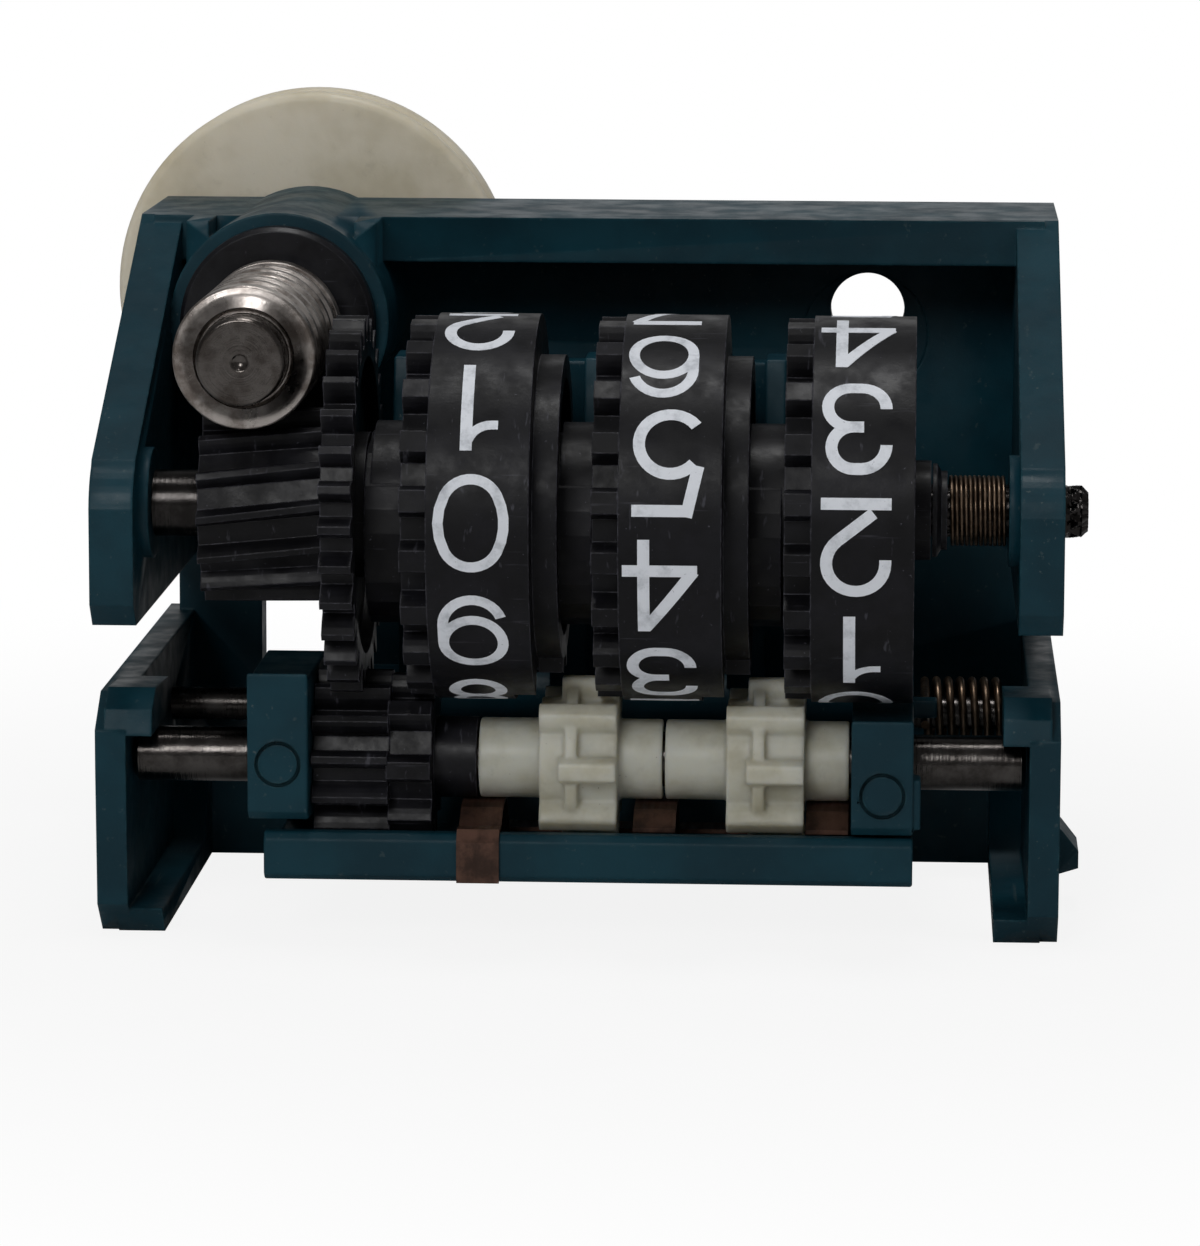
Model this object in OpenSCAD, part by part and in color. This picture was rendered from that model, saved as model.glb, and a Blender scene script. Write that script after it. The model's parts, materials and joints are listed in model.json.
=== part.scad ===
// Three digit reset counter with a worm drive and a swinging pinion carrier.
// X runs along the wheel shaft, Y points to the rear and Z up. It stands on its two snap feet.

/* [Housing] */
// Width over the two side cheeks
body_w = 33; // [32.8:0.1:33.6]
// Thickness of the moulded walls
wall = 1.5; // [1.4:0.05:1.6]
// Height of the rail's top above the wheel axis
top_z = 8.9; // [8.8:0.05:9.3]
// Depth from the wheel axis to the rear face of the housing
rear_y = 19.1; // [19:0.05:19.2]
// Depth of the soles of the feet below the wheel axis
foot_drop = 14.85; // [14.8:0.05:15.4]

/* [Digit wheels] */
// Radius of the digit bands
band_r = 6.6; // [6.5:0.02:6.6]
// Width of a digit band
band_w = 3.45; // [3.4:0.01:3.46]
// Distance from one digit wheel to the next
wheel_pitch = 6.4; // [6.38:0.01:6.42]
// Width of the gear beside each band
gear_w = 0.9; // [0.8:0.05:0.9]
// Diameter of the wheel shaft
shaft_d = 1.8; // [1.6:0.05:1.8]

/* [Gears] */
// Distance from the wheel shaft to the pinion shaft
centre = 8.75; // [8.75:0.01:8.8]
// Teeth on a digit wheel
wheel_teeth = 20; // [20]
// Teeth on a transfer pinion
pinion_teeth = 8; // [8]
// Teeth on the spur gear of the worm wheel
spur_teeth = 30; // [30]
// Teeth of the drive pinion that mesh with the spur gear
drive_teeth = 13; // [13]
// Teeth on the helical part of the worm wheel
helical_teeth = 14; // [13:1:14]
// Diameter of the pinion shaft
pinion_shaft_d = 1.9; // [1.8:0.05:1.9]

/* [Worm and pulley] */
// Height of the worm axis above the wheel axis
worm_z = 5.4; // [5.4:0.01:5.45]
// Place of the worm axis along the wheel shaft
worm_x = -11.15; // [-11.2:0.01:-11.1]
// Outer radius of the worm
worm_r = 2.43; // [2.3:0.01:2.45]
// Outer radius of the belt pulley
pulley_r = 7.35; // [7:0.05:7.5]

/* [Springs] */
// Wire of the axial spring on the wheel shaft
axial_wire = 0.14; // [0.12:0.01:0.15]
// Wire of the carrier spring
carrier_wire = 0.3; // [0.24:0.01:0.3]

/* [Hidden] */
$fn = 48;

side = body_w / 2;
overhang = 0.85;
front_y = -3.2;
rail_y = 11.1;
shaft_end_y = 24;
mid_x = (worm_x - pulley_r + side + overhang) / 2;
mid_y = (shaft_end_y - band_r) / 2;

// Running fits
run = 0.05;
seat = 0.02;
side_gap = 0.05;

// Wheels: places along the shaft, counted from the units wheel
gear_x = -5.7;
band_x = gear_x + gear_w;
hub_x = -7.15;
hub_len = wheel_pitch - side_gap;
hub_r = 1.7;
rim_in = 5;
ring_in = 4.4;
ring_r = 5.2;
ring_w = 0.85;
carry_r = 5.7;
notch_r = 5.62;
notch_half = 21;
notch_w = 0.77;
cam_low = 2.3;
cam_high = 4.2;
cam_w = 1.3;

// Tooth sizes of the pairs
tooth_m = 2 * centre / (wheel_teeth + pinion_teeth);
wheel_tip = 6.5;
pinion_tip = 2.9;
wheel_root = centre - pinion_tip - 0.12;
pinion_root = centre - wheel_tip - 0.12;
drive_m = 2 * centre / (spur_teeth + drive_teeth);
spur_tip = drive_m * (spur_teeth / 2 + 0.92);
drive_tip = drive_m * (drive_teeth / 2 + 0.9);
spur_root = centre - drive_tip - 0.1;
drive_root = centre - spur_tip - 0.1;
thin = 0.07;
pressure = 20;

// Worm wheel
helical_x = -12.85;
helical_w = 4.4;
helical_tip = 3.35;
helical_root = 2.8;
helical_m = 2 * 3.05 / helical_teeth;
helical_twist = 9.2;
spur_x = -8.4;
spur_w = 1.1;

// Pinions
pinion_x = -3.42;
pinion_len = 6.34;
pinion_hub_r = 1.4;
tooth_x = gear_x + wheel_pitch - 2;
tooth_w = 2.7;
short_start = 0.7;
drive_x = -9;

// Carrier
pivot_y = 11;
pivot_z = -8.9;
pivot_d = 1.2;
lug_front = -3.5;
rail_top = -10.85;
floor_top = -11.85;

// Worm along its axis, as depths behind the wheel axis
worm_nose = -4.7;
worm_face = -3.5;
worm_start = -2.6;
worm_stop = 5;
worm_back = 5.8;
flange_y = 7;
flange_r = 3.46;
flange_w = 0.8;
worm_shaft_r = 1;
boss_r = 3.9;
pulley_y = 19.9;
pulley_w = 3.2;

function polar(r, a) = [r * cos(a), r * sin(a)];

// Unwinding angle of an involute from its base circle
function unwind(base, r) = let (t = sqrt(max(0, pow(r / base, 2) - 1))) t * 180 / PI - atan(t);

// Half of the angle that a tooth takes at a radius
function half_tooth(m, z, slim, r) =
    let (pitch_r = m * z / 2, base = pitch_r * cos(pressure))
    90 / z - slim / pitch_r * 90 / PI + unwind(base, pitch_r) - unwind(base, max(base, r));

// One tooth, from root to tip and back to the root
function tooth(m, z, root, tip, slim, a, steps = 3) =
    let (base = m * z / 2 * cos(pressure), low = max(root, base),
         radii = [for (i = [0 : steps]) low + (tip - low) * i / steps],
         foot = low > root ? [root] : [],
         climb = concat(foot, radii))
    concat(
        [for (r = climb) polar(r, a - half_tooth(m, z, slim, r))],
        [for (i = [len(climb) - 1 : -1 : 0]) polar(climb[i], a + half_tooth(m, z, slim, climb[i]))]);

function gear_outline(m, z, root, tip, slim, phase) =
    [for (k = [0 : z - 1]) each tooth(m, z, root, tip, slim, phase + k * 360 / z)];

// Heart shaped reset cam: its radius grows evenly from the notch to the point
function heart(low, high, phase) =
    [for (i = [0 : 23]) let (a = i * 15, turn = a > 180 ? 360 - a : a)
        polar(low + (high - low) * turn / 180, phase + a)];

// Profiles drawn in Y and Z, pushed along X
module along_x(x0, x1) {
    translate([x0, 0, 0]) rotate([90, 0, 90]) linear_extrude(x1 - x0) children();
}

// Turned shapes along Y, drawn as depth and radius
module turned_y(profile) {
    rotate([-90, 0, 0]) rotate_extrude() polygon([for (p = profile) [p[1], p[0]]]);
}

module at_worm() {
    translate([worm_x, 0, worm_z]) children();
}

module at_pinions() {
    translate([0, 0, -centre]) children();
}

module placed() {
    translate([-mid_x, -mid_y, foot_drop]) children();
}

// A round wire wound along X
module coil(radius, wire, length, turns, sides = 6, steps = 12) {
    rings = floor(turns * steps);
    ring_points = [for (i = [0 : rings], j = [0 : sides - 1])
        let (a = i * 360 / steps, b = j * 360 / sides, r = radius + wire / 2 * cos(b))
        [wire / 2 + (length - wire) * i / rings + wire / 2 * sin(b), r * cos(a), r * sin(a)]];
    skin = [for (i = [0 : rings - 1], j = [0 : sides - 1])
        let (n = (j + 1) % sides, p = i * sides) each [
            [p + j, p + n, p + sides + n],
            [p + j, p + sides + n, p + sides + j]]];
    start_cap = [[for (j = [sides - 1 : -1 : 0]) j]];
    end_cap = [[for (j = [0 : sides - 1]) rings * sides + j]];
    polyhedron(ring_points, concat(skin, start_cap, end_cap));
}

module cheek_outline() {
    nose = 1.9;
    polygon([
        [rear_y, top_z], [rail_y + 0.5, top_z], [rail_y - 0.2, top_z - 0.35],
        [front_y + 0.9, 1.75], [front_y, 0.2], [front_y, -3.1], [front_y + 0.7, -3.9],
        [rear_y, -3.9]
    ]);
    translate([front_y + nose, 0]) circle(nose);
}

module arm_outline() {
    polygon([
        [-0.6, -6.5], [rear_y, -6.5], [rear_y, -10.2], [14.4, -foot_drop], [-0.7, -foot_drop],
        [-2, -13.7], [-2.2, -9], [-2.2, -7.6]
    ]);
}

// One side of the housing, drawn for +X
module housing_side() {
    arm_in = side - 1.05;
    along_x(side - wall, side) cheek_outline();
    along_x(arm_in, side) arm_outline();
    // Bearing swelling round the wheel shaft
    translate([side - wall - 0.35, 0, 0]) rotate([0, 90, 0]) cylinder(h = 0.5, r = 1.9);
    // Hook over the end of the pinion shaft
    hook_low = -centre + pinion_shaft_d / 2 + seat;
    along_x(side - 1.95, side - 0.3) polygon([
        [-2.2, hook_low], [1.8, hook_low], [2.6, -6.5], [-0.9, -6.3], [-2, -6.9]
    ]);
    // Sole of the foot, turned inwards
    along_x(side - 2.2, side - 0.6) polygon([
        [-0.9, -foot_drop], [14.2, -foot_drop], [14.2, -foot_drop + 0.95], [-1.7, -foot_drop + 0.95]
    ]);
    // Stiffening root where the arm meets the cross wall
    along_x(side - 2.2, side - 0.6) polygon([
        [10.8, -foot_drop + 0.5], [13, -foot_drop + 0.5], [13, -10.2], [12.2, -10.2]
    ]);
    // Outward snap catch with a lead-in slope
    translate([side - 0.1, 4.5, 0]) rotate([90, 0, 180]) mirror([1, 0, 0]) linear_extrude(2.6)
        polygon([[0, -11.6], [0.4, -12], [overhang + 0.1, -12.7], [overhang + 0.1, -13.3], [0, -13.6]]);
}

module housing_solid() {
    housing_side();
    mirror([1, 0, 0]) housing_side();
    // Top rail
    translate([-side + 0.5, rail_y, top_z - 1.6]) cube([body_w - 1, rear_y - rail_y, 1.6]);
    // Rear wall behind the wheels
    translate([-side + 0.5, rear_y - wall, -10.2]) cube([body_w - 1, wall, top_z + 10.2]);
    // Shelf and lower cross wall
    translate([-side + 0.5, 13, -11.4]) cube([body_w - 1, rear_y - 13, 1.2]);
    translate([-side + 0.5, 13, -foot_drop]) cube([body_w - 1, 1.3, foot_drop - 10.3]);
    // Bearing boss of the worm, with two ribs up to the rail
    at_worm() translate([0, flange_y + flange_w + seat, 0]) rotate([-90, 0, 0])
        cylinder(h = rear_y + 0.2 - flange_y - flange_w - seat, r = boss_r);
    for (x = [-3.4, 2.6])
        translate([worm_x + x, rail_y - 2.4, worm_z]) cube([0.8, rear_y - rail_y, top_z - worm_z]);
}

module housing() color("#35606b") placed() {
    difference() {
        housing_solid();
        rotate([0, 90, 0]) cylinder(h = body_w + 4, r = shaft_d / 2 + seat, center = true);
        at_worm() rotate([-90, 0, 0]) cylinder(h = 60, r = 2.2 + seat, center = true);
        translate([0, pivot_y, pivot_z]) rotate([0, 90, 0])
            cylinder(h = body_w - 1, r = pivot_d / 2 + seat, center = true);
        // Round window high in the rear wall
        translate([9.6, rear_y, 4.1]) rotate([90, 0, 0]) cylinder(h = 8, r = 2.3, center = true);
        // Openings where the mould's core passed behind the worm wheel and the bands
        translate([-12.9, rear_y - 3, -9.3]) cube([3.4, 6, 3.9]);
        for (x = [-3, 3.4]) translate([x - 2.1, rear_y - 3, -9.3]) cube([4.2, 6, 2.4]);
        // Space under the boss for the spur gear
        rotate([0, 90, 0]) translate([0, 0, spur_x - 0.3]) cylinder(h = 1.8, r = spur_tip + 0.3);
    }
}

module wheel_shaft() color("#c9c8c5") placed() rotate([0, 90, 0]) {
    r = shaft_d / 2;
    left = -side - 0.25;
    right = side + overhang;
    difference() {
        union() {
            translate([0, 0, left]) cylinder(h = right - 0.35 - left, r = r);
            translate([0, 0, right - 0.36]) cylinder(h = 0.36, r1 = r, r2 = r - 0.3);
            // Shoulder that the worm wheel runs against
            translate([0, 0, -side + wall + 0.4]) cylinder(h = side - wall - 0.4 + helical_x - side_gap, r = 1.15);
        }
        // Crimp marks on the right end
        for (a = [0 : 45 : 315]) rotate([0, 0, a]) translate([r, 0, right - 0.95])
            cylinder(h = 1.2, r = 0.11, $fn = 16);
    }
}

module worm_bush() color("#252629") placed() at_worm() turned_y([
    [flange_y, worm_shaft_r + run], [flange_y, flange_r - 0.15], [flange_y + 0.15, flange_r],
    [flange_y + flange_w, flange_r], [flange_y + flange_w, 2.2], [rear_y + 0.1, 2.2],
    [rear_y + 0.1, worm_shaft_r + run]
]);

module worm() color("#bdbab6") placed() at_worm() difference() {
    turned_y([
        [worm_nose, 0], [worm_nose, 1.4], [worm_nose + 0.12, 1.5], [worm_face, 1.5],
        [worm_face, worm_r - 0.15], [worm_face + 0.15, worm_r], [worm_start, worm_r], [worm_start, 2],
        [worm_stop, 2], [worm_stop, worm_r], [worm_back, worm_r], [worm_back, 1.8],
        [flange_y - seat, 1.8], [flange_y - seat, worm_shaft_r], [shaft_end_y - 0.15, worm_shaft_r],
        [shaft_end_y, worm_shaft_r - 0.15], [shaft_end_y, 0]
    ]);
    // Centre left by the lathe
    translate([0, worm_nose - 0.01, 0]) rotate([-90, 0, 0]) cylinder(h = 0.4, r1 = 0.32, r2 = 0.02);
}

module drive_pulley() color("#e4e0d2") placed() at_worm() {
    front = pulley_y;
    back = pulley_y + pulley_w;
    turned_y([
        [front, worm_shaft_r + seat], [front, 3.1], [front + 0.5, 3.4], [front + 0.5, 6],
        [front, 6.3], [front, pulley_r - 0.2], [front + 0.2, pulley_r], [front + 0.65, pulley_r],
        [front + 1.3, pulley_r - 1.1], [back - 1.3, pulley_r - 1.1], [back - 0.65, pulley_r],
        [back - 0.2, pulley_r], [back, pulley_r - 0.2], [back, 5.9], [back - 1.4, 5.7],
        [back - 1.4, 2.3], [back, 2.1], [back, worm_shaft_r + seat]
    ]);
}

module pulley_clip() color("#b9b8b4") placed() at_worm()
    translate([0, pulley_y + pulley_w + seat, 0]) rotate([-90, 0, 0]) linear_extrude(0.35) difference() {
        circle(1.9);
        circle(worm_shaft_r + seat);
        translate([0, 1.9]) square([1, 2.2], center = true);
        for (a = [-35, 215]) rotate(a) translate([1.35, 0]) circle(0.3);
    }

module worm_wheel() color("#2a2b2e") placed() difference() {
    union() {
        translate([helical_x, 0, 0]) rotate([90, 0, 90]) linear_extrude(helical_w, twist = helical_twist, slices = 5)
            polygon(gear_outline(helical_m, helical_teeth, helical_root, helical_tip, 0.2, 3));
        along_x(spur_x, spur_x + spur_w)
            polygon(gear_outline(drive_m, spur_teeth, spur_root, spur_tip, thin, 0));
        rotate([0, 90, 0]) translate([0, 0, helical_x + 0.5])
            cylinder(h = hub_x - side_gap - helical_x - 0.5, r = 2.5);
    }
    rotate([0, 90, 0]) translate([0, 0, helical_x - 1])
        cylinder(h = 8, r = shaft_d / 2 + run);
    // Relief behind the spur teeth
    rotate([0, 90, 0]) translate([0, 0, spur_x + spur_w - 0.45]) difference() {
        cylinder(h = 2, r = 5.1);
        cylinder(h = 5, r = 2.5, center = true);
    }
}

// A digit wheel at the units place. The carry teeth and the notch of the rim face the pinion.
module digit_wheel(carries) difference() {
    union() {
        // Hub through the wheel
        rotate([0, 90, 0]) translate([0, 0, hub_x]) cylinder(h = hub_len, r = hub_r);
        along_x(hub_x, hub_x + cam_w) polygon(heart(cam_low, cam_high, 100));
        rotate([0, 90, 0]) translate([0, 0, hub_x + 0.2]) cylinder(h = gear_x - hub_x, r = 2.9);
        along_x(gear_x, gear_x + gear_w)
            polygon(gear_outline(tooth_m, wheel_teeth, wheel_root, wheel_tip, thin, 9));
        // Web and rim of the band
        rotate([0, 90, 0]) translate([0, 0, band_x]) difference() {
            cylinder(h = band_w, r = band_r, $fn = 96);
            translate([0, 0, 0.7]) cylinder(h = band_w, r = rim_in);
        }
        if (carries) rotate([0, 90, 0]) translate([0, 0, band_x + band_w - 1]) difference() {
            cylinder(h = 1 + ring_w, r = ring_r);
            translate([0, 0, -1]) cylinder(h = 4, r = ring_in);
        }
        if (carries) along_x(band_x + band_w - 0.3, band_x + band_w + ring_w)
            for (a = [-99, -81]) polygon([
                polar(ring_in + 0.2, a - 3.4), polar(ring_r, a - 3.6), polar(carry_r, a - 2),
                polar(carry_r, a + 2), polar(ring_r, a + 3.6), polar(ring_in + 0.2, a + 3.4)
            ]);
    }
    rotate([0, 90, 0]) translate([0, 0, hub_x - 1]) cylinder(h = hub_len + 2, r = shaft_d / 2 + run);
    // Notch of the rim, for the wide pinion teeth
    if (carries) along_x(band_x + band_w - notch_w, band_x + band_w + 0.01) polygon(concat(
        [for (a = [-notch_half : 6 : notch_half]) polar(notch_r, a - 90)],
        [polar(band_r + 1, notch_half - 90), polar(band_r + 1, -notch_half - 90)]));
}

module units_wheel() color("#3a3b3f") placed() digit_wheel(true);

module tens_wheel() color("#3a3b3f") placed() translate([wheel_pitch, 0, 0]) digit_wheel(true);

module hundreds_wheel() color("#3a3b3f") placed() translate([2 * wheel_pitch, 0, 0]) digit_wheel(false);

module shaft_collar() color("#323336") placed() rotate([0, 90, 0])
    translate([0, 0, hub_x + 2 * wheel_pitch + hub_len + side_gap]) rotate_extrude() polygon([
        [shaft_d / 2 + run, 0], [1.6, 0], [1.6, 0.15], [1.35, 0.3], [1.35, 0.5], [shaft_d / 2 + run, 0.5]
    ]);

module axial_spring() color("#a39c8c") placed() {
    start = hub_x + 2 * wheel_pitch + hub_len + side_gap + 0.5 + seat;
    translate([start, 0, 0]) coil(1.14, axial_wire, side - wall - 0.35 - seat - start, 12);
}

// The wide teeth reach almost to the rim of the wheel before, and the short ones end further from it
module transfer_pinion() difference() {
    union() {
        rotate([0, 90, 0]) translate([0, 0, pinion_x]) cylinder(h = pinion_len, r = pinion_hub_r);
        along_x(tooth_x, tooth_x + tooth_w) {
            circle(pinion_root);
            for (k = [0 : 3]) polygon(concat([[0, 0]],
                tooth(tooth_m, pinion_teeth, pinion_root - 0.1, pinion_tip, thin, 45 + k * 90)));
        }
        along_x(tooth_x + short_start, tooth_x + tooth_w)
            for (k = [0 : 3]) polygon(concat([[0, 0]],
                tooth(tooth_m, pinion_teeth, pinion_root - 0.1, pinion_tip, thin, k * 90)));
        // Thin web that ties the teeth together
        rotate([0, 90, 0]) translate([0, 0, tooth_x + 0.9]) cylinder(h = 0.45, r = 2.6);
    }
    rotate([0, 90, 0]) translate([0, 0, pinion_x - 1])
        cylinder(h = pinion_len + 2, r = pinion_shaft_d / 2 + run);
}

module drive_pinion() color("#2a2b2e") placed() at_pinions() difference() {
    union() {
        along_x(drive_x, -6.4)
            polygon(gear_outline(drive_m, drive_teeth, drive_root, drive_tip, thin, 90));
        along_x(-6.45, -4.95)
            polygon(gear_outline(tooth_m, pinion_teeth, pinion_root, pinion_tip, thin, 0));
        rotate([0, 90, 0]) translate([0, 0, drive_x]) cylinder(h = pinion_x - side_gap - drive_x, r = pinion_hub_r);
    }
    rotate([0, 90, 0]) translate([0, 0, drive_x - 1]) cylinder(h = 8, r = pinion_shaft_d / 2 + run);
}

module tens_pinion() color("#e9e6dc") placed() at_pinions() transfer_pinion();

module hundreds_pinion() color("#e9e6dc") placed() at_pinions()
    translate([wheel_pitch, 0, 0]) transfer_pinion();

module pinion_shaft() color("#c4c2be") placed() at_pinions() rotate([0, 90, 0]) {
    reach = side - 1.05 - 0.1;
    r = pinion_shaft_d / 2;
    translate([0, 0, -reach]) cylinder(h = 0.15, r1 = r - 0.15, r2 = r);
    translate([0, 0, -reach + 0.15]) cylinder(h = 2 * reach - 0.3, r = r);
    translate([0, 0, reach - 0.15]) cylinder(h = 0.15, r1 = r, r2 = r - 0.15);
}

// Side plate of the carrier, from its front face back to the pivot
module lug(x0, x1, top, bottom) {
    along_x(x0, x1) polygon([
        [lug_front, top + 0.3], [lug_front + 0.3, top], [3, top], [pivot_y, pivot_z + 1.35],
        [pivot_y, pivot_z - 1.35], [4, bottom - 0.6], [lug_front + 0.3, bottom], [lug_front, bottom + 0.3]
    ]);
    // Raised moulding mark round a blank disc
    translate([(x0 + x1) / 2, lug_front - 0.06, (top + bottom) / 2 - 0.45]) rotate([-90, 0, 0])
        linear_extrude(0.2) difference() {
            circle(0.78);
            circle(0.68);
        }
}

// Reset finger that swings towards the heart cam of one wheel, with a broad back where there is room
module reset_finger(x, broad) {
    along_x(x, x + 0.75) polygon([
        [pivot_y - 1, pivot_z], [pivot_y + 1, pivot_z], [9.9, -2], [9.9, 3.6], [9.2, 4.3],
        [7.2, 4.3], [6.3, 1.4], [6.3, -1.2], [8.3, -3.4]
    ]);
    if (broad) along_x(x - 1.3, x + 0.75) polygon([
        [pivot_y - 1, pivot_z], [pivot_y + 1, pivot_z], [9.9, -2], [9.9, 4], [8.9, 4], [8.9, -2]
    ]);
}

module pinion_carrier() color("#35606b") placed() difference() {
    union() {
        lug(-11.12, -9.05, -5.6, -10.4);
        lug(9.4, 11.5, -7, -10.7);
        // Front rail and the floor back to the barrel
        along_x(-10.6, 11.5) polygon([
            [-3.3, -11.1], [-3.1, rail_top], [-2.6, rail_top], [-2.6, floor_top], [4, floor_top],
            [pivot_y - 0.9, pivot_z - 0.8], [pivot_y, pivot_z - 1.3], [4.4, -12.5], [-3.1, -12.5], [-3.3, -12.3]
        ]);
        translate([-11.12, pivot_y, pivot_z]) rotate([0, 90, 0]) cylinder(h = 22.62, r = 1.5);
        for (i = [0 : 2]) reset_finger(-7 + i * wheel_pitch + (i == 0 ? 0 : 0.35), i > 0);
        // Nib that the spring leg lifts, and the gate mark low on the lug
        translate([11.4, 1.8, pivot_z + 1.36]) cube([0.9, 1, 0.6]);
        translate([11.4, -3.3, -10.5]) cube([0.35, 1.2, 1.7]);
    }
    at_pinions() rotate([0, 90, 0]) cylinder(h = 40, r = pinion_shaft_d / 2 + seat, center = true);
    translate([0, pivot_y, pivot_z]) rotate([0, 90, 0]) cylinder(h = 40, r = pivot_d / 2 + run, center = true);
}

// Bent copper strip on the front rail, with one finger under each pair of hubs
module brake_spring() color("#8a5a44") placed() {
    low = floor_top + seat;
    hub_low = -centre - pinion_hub_r - seat;
    for (x = [-4, 1.95, 7.85]) along_x(x, x + 1.45) polygon([
        [3.8, low], [3.8, low + 0.14], [2.3, low + 0.14], [0.8, hub_low], [-0.5, hub_low],
        [-1.3, hub_low - 0.1], [-2.2, -10.75], [-2.2, -10.9], [-1.35, hub_low - 0.25],
        [-0.5, hub_low - 0.14], [0.7, hub_low - 0.14], [2.2, low]
    ]);
    along_x(-4, 9.3) polygon([[3.8, low], [3.8, low + 0.14], [2.5, low + 0.14], [2.5, low]]);
    // Tab of the first finger, folded over the rail
    along_x(-4, -2.55) polygon([
        [-2.19, -10.9], [-2.19, -10.75], [-2.7, rail_top + 0.16], [-3.15, rail_top + 0.16],
        [-3.47, -11.1], [-3.47, -12.5], [-3.33, -12.5], [-3.33, -11.1], [-3.12, rail_top + seat],
        [-2.6, rail_top + seat]
    ]);
}

module pivot_pin() color("#bdbbb7") placed() translate([0, pivot_y, pivot_z]) rotate([0, 90, 0])
    cylinder(h = body_w - 1.3, r = pivot_d / 2, center = true);

module carrier_spring() color("#8f8a80") placed() {
    translate([11.75, pivot_y, pivot_z]) {
        rotate([90, 0, 0]) coil(1.15, carrier_wire, 3.1, 6.5, 6, 14);
        // Leg forward under the nib of the carrier
        translate([0.15, 0, 1.15]) rotate([90, 0, 0]) cylinder(h = 9.3, r = carrier_wire / 2, $fn = 16);
        // Leg back to the cross wall
        translate([2.95, 0, -1.15]) rotate([-90, 0, 0]) cylinder(h = 1.95, r = carrier_wire / 2, $fn = 16);
    }
}

housing();
wheel_shaft();
worm_bush();
worm();
drive_pulley();
pulley_clip();
worm_wheel();
units_wheel();
tens_wheel();
hundreds_wheel();
shaft_collar();
axial_spring();
drive_pinion();
tens_pinion();
hundreds_pinion();
pinion_shaft();
pinion_carrier();
brake_spring();
pivot_pin();
carrier_spring();
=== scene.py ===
import json
import math

import bmesh
import bpy
from mathutils import Matrix, Vector


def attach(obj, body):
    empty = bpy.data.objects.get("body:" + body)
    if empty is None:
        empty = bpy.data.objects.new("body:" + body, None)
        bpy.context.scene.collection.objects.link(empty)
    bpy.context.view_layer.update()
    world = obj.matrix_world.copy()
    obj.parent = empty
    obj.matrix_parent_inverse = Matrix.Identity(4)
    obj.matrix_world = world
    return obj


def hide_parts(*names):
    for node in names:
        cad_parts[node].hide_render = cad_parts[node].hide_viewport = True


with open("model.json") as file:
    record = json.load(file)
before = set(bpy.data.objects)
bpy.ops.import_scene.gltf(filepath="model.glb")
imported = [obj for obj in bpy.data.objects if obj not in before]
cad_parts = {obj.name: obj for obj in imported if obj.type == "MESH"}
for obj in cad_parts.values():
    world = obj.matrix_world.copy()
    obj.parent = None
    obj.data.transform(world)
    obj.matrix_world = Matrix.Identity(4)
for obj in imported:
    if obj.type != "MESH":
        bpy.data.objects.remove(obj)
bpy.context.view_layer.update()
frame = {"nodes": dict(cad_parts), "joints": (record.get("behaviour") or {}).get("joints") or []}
nodes = frame["nodes"]
joints = {j["name"]: Vector(j["pos_m"]) for j in frame["joints"]}
mm = 0.001

wheelAxis = joints["units_turn"]
wormAxis = joints["drive_turn"]
pinionAxis = joints["drive_pinion_turn"]
pivotAxis = joints["carrier_swing"]
print("frame loaded:", len(nodes), "nodes")


def linear(r, g, b):
    # a colour read off a screen, 0 to 255, as Blender wants it
    out = []
    for value in (r, g, b):
        value /= 255
        out.append(value / 12.92 if value <= 0.04045 else ((value + 0.055) / 1.055) ** 2.4)
    return (*out, 1.0)


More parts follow.
